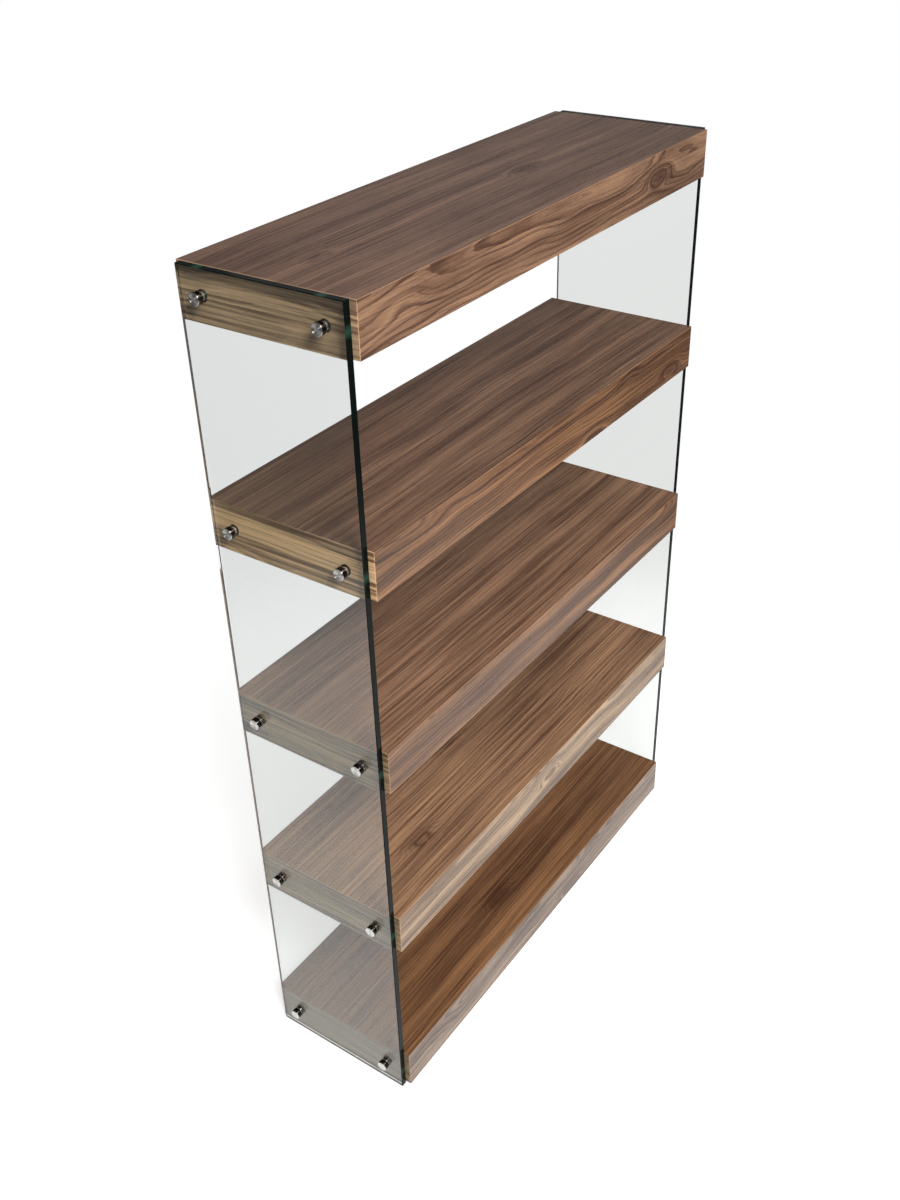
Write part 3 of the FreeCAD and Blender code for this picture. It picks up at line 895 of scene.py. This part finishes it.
def make_fixings(steel, rubber, nylon, zinc, brass):
    tree = turned_tree()
    low, high = fixing_heights()
    gasket = (GASKET_DIAMETER, BORE_DIAMETER, GASKET_EDGE_RADIUS)
    kinds = {
        "standoff_caps": (cap_outline, (), False, steel, "stainless_steel"),
        "outer_gaskets": (washer_outline, gasket, True, rubber, "black_rubber"),
        "inner_gaskets": (washer_outline, gasket, True, rubber, "black_rubber"),
        "hole_bushes": (washer_outline, (BUSH_DIAMETER, BORE_DIAMETER, BUSH_EDGE_RADIUS), True,
                        nylon, "clear_nylon"),
        "studs": (stud_outline, (), False, zinc, "zinc_plated_steel"),
        "threaded_inserts": (insert_outline, (), True, brass, "brass"),
    }
    for kind, (outline, sizes, closed, finish, slot) in kinds.items():
        for name, side in SIDES.items():
            near, far = sorted(abs(corner.x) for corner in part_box(f"{kind}_{name}"))
            line = outline_mesh(f"{kind}_outline", outline(near, far, *sizes), closed)
            piece = run_tree(f"{kind}_{name}_turned", tree, {
                "Sides": CAP_SIDES if kind == "standoff_caps" else SMALL_PART_SIDES,
                "Spacing": 2 * fixing_y(), "Rise": high - low, "Rows": len(SHELVES),
                "Place": (0.0, 0.0, (low + high) / 2),
                "Facing": 0.0 if side > 0 else math.pi, "Finish": finish}, start=line)
            settle(piece, f"{kind}_{name}")


# ---- studio -----------------------------------------------------------------------------
AIM = Vector((-0.036, 0.049, 0.749))
CAMERA_AZIMUTH, CAMERA_ELEVATION, CAMERA_ROLL = -54.16, 33.13, -1.85
CAMERA_DISTANCE = 2.343
CAMERA_LENS = 38.11             # mm, on a 36 mm long side
FLOOR_RADIUS = 2.5
FLOOR_CENTRE = (-0.5, -0.5, 0.0)
FLOOR_FADE = 1.0                # width of the soft rim, where the sheet falls out of light
FLOOR_GAP = 0.5 * MM
FLOOR_SIDES = 96


def direction(azimuth, elevation):
    """Way out from the bookcase at so many degrees round from the front and up."""
    turn, lift = math.radians(azimuth), math.radians(elevation)
    return Vector((math.sin(turn) * math.cos(lift), -math.cos(turn) * math.cos(lift),
                   math.sin(lift)))


def make_camera():
    back = direction(CAMERA_AZIMUTH, CAMERA_ELEVATION)
    camera = bpy.data.objects.new("camera", bpy.data.cameras.new("camera"))
    camera.data.lens = CAMERA_LENS
    camera.data.sensor_width = 36.0
    camera.matrix_world = (Matrix.Translation(AIM + back * CAMERA_DISTANCE)
                           @ (-back).to_track_quat("-Z", "Y").to_matrix().to_4x4()
                           @ Matrix.Rotation(math.radians(CAMERA_ROLL), 4, "Z"))
    bpy.context.scene.collection.objects.link(camera)
    bpy.context.scene.camera = camera


def make_floor():
    """Round matt white sheet, lit a little from below as a light table is."""
    material, tree, shader = new_material("matt_white_sheet", Roughness=0.9,
                                          Specular_IOR_Level=0.1,
                                          Emission_Color=colour("#FFFFFF"),
                                          Emission_Strength=SHEET_GLOW)
    mottle(tree, shader, 1.5, 2.0, "#F2F2F1", "#F5F5F5")
    place = node(tree, "ShaderNodeTexCoord").outputs["Object"]
    off = node(tree, "ShaderNodeVectorMath", [place, FLOOR_CENTRE], operation="SUBTRACT")
    far = node(tree, "ShaderNodeVectorMath", [off], operation="LENGTH")
    fade = node(tree, "ShaderNodeMapRange",
                {"Value": far.outputs["Value"], "From Min": FLOOR_RADIUS - FLOOR_FADE,
                 "From Max": FLOOR_RADIUS}, interpolation_type="SMOOTHERSTEP")
    gone = node(tree, "ShaderNodeBsdfTransparent")
    output = next(n for n in tree.nodes if n.type == "OUTPUT_MATERIAL")
    sheet = node(tree, "ShaderNodeMixShader", [fade, shader, gone])
    tree.links.new(sheet.outputs[0], output.inputs["Surface"])
    turns = [2 * math.pi * i / FLOOR_SIDES for i in range(FLOOR_SIDES)]
    rim = [(FLOOR_CENTRE[0] + FLOOR_RADIUS * math.cos(turn),
            FLOOR_CENTRE[1] + FLOOR_RADIUS * math.sin(turn), -FLOOR_GAP) for turn in turns]
    mesh = bpy.data.meshes.new("floor")
    mesh.from_pydata(rim, [], [list(range(FLOOR_SIDES))])
    mesh.materials.append(material)
    floor = bpy.data.objects.new("floor", mesh)
    bpy.context.scene.collection.objects.link(floor)


# Soft box: place, power in watts, side of the square.
KEY_PLACE = Vector((-1.7, -2.2, 3.3))
KEY_POWER = 113.0
KEY_SIDE = 1.1
# Broad lamps: azimuth and elevation that each shines from, strength, degrees across.
LAMPS = {
    "fill": (30.0, 50.0, 0.6, 60.0),
    "window": (123.0, 13.0, 0.03, 26.0),
}
ROOM_LIGHT = 0.36
ROOM_IN_GLOSS = 0.12
BACKDROP_LIGHT = 1.0
SHEET_GLOW = 0.55


def add_lamp(name, kind, back, **settings):
    """A lamp whose light comes from the direction back."""
    lamp = bpy.data.objects.new(name, bpy.data.lights.new(name, kind))
    for key, value in settings.items():
        setattr(lamp.data, key, value)
    lamp.rotation_euler = (-back).to_track_quat("-Z", "Y").to_euler()
    bpy.context.scene.collection.objects.link(lamp)
    return lamp


def make_light():
    key = add_lamp("key", "AREA", KEY_PLACE - AIM, energy=KEY_POWER, size=KEY_SIDE)
    key.location = KEY_PLACE
    for name, (azimuth, elevation, strength, angle) in LAMPS.items():
        add_lamp(name, "SUN", direction(azimuth, elevation), energy=strength,
                 angle=math.radians(angle))

    # a white backdrop where it is seen straight or through glass, and a dim room elsewhere
    world = bpy.data.worlds.new("studio")
    world.use_nodes = True
    tree = world.node_tree
    tree.nodes.clear()
    path = node(tree, "ShaderNodeLightPath")
    turns = node(tree, "ShaderNodeMath", [path.outputs["Glossy Depth"],
                                          path.outputs["Diffuse Depth"]], operation="ADD")
    straight = node(tree, "ShaderNodeMath", [turns, 0.5], operation="LESS_THAN")
    in_gloss = node(tree, "ShaderNodeMath", [path.outputs["Glossy Depth"], 0.5],
                    operation="GREATER_THAN")
    room = node(tree, "ShaderNodeMix", [in_gloss, None, ROOM_LIGHT, ROOM_IN_GLOSS])
    strength = node(tree, "ShaderNodeMix", [straight, None, room, BACKDROP_LIGHT])
    light = node(tree, "ShaderNodeBackground", [colour("#FFFFFF"), strength])
    node(tree, "ShaderNodeOutputWorld", [light])
    bpy.context.scene.world = world
    bpy.context.scene.view_settings.view_transform = "Standard"


# ---- the bookcase -----------------------------------------------------------------------
make_camera()
make_floor()
make_light()

make_shelves(walnut_veneer())
make_glass(clear_glass(), glass_edge())
make_fixings(turned_stainless(), black_rubber(), natural_nylon(),
             plated_metal("zinc_plated_steel", "#9DA1A4", "#C4C8CC", 0.25),
             plated_metal("machined_brass", "#B98F45", "#D9B468", 0.2))

pine = sawn_pine()
for number in SHELVES:
    for core in ("end_blocks", "ribs"):
        core_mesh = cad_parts[f"shelf_{number}_{core}"].data
        core_mesh.materials.clear()
        core_mesh.materials.append(pine)
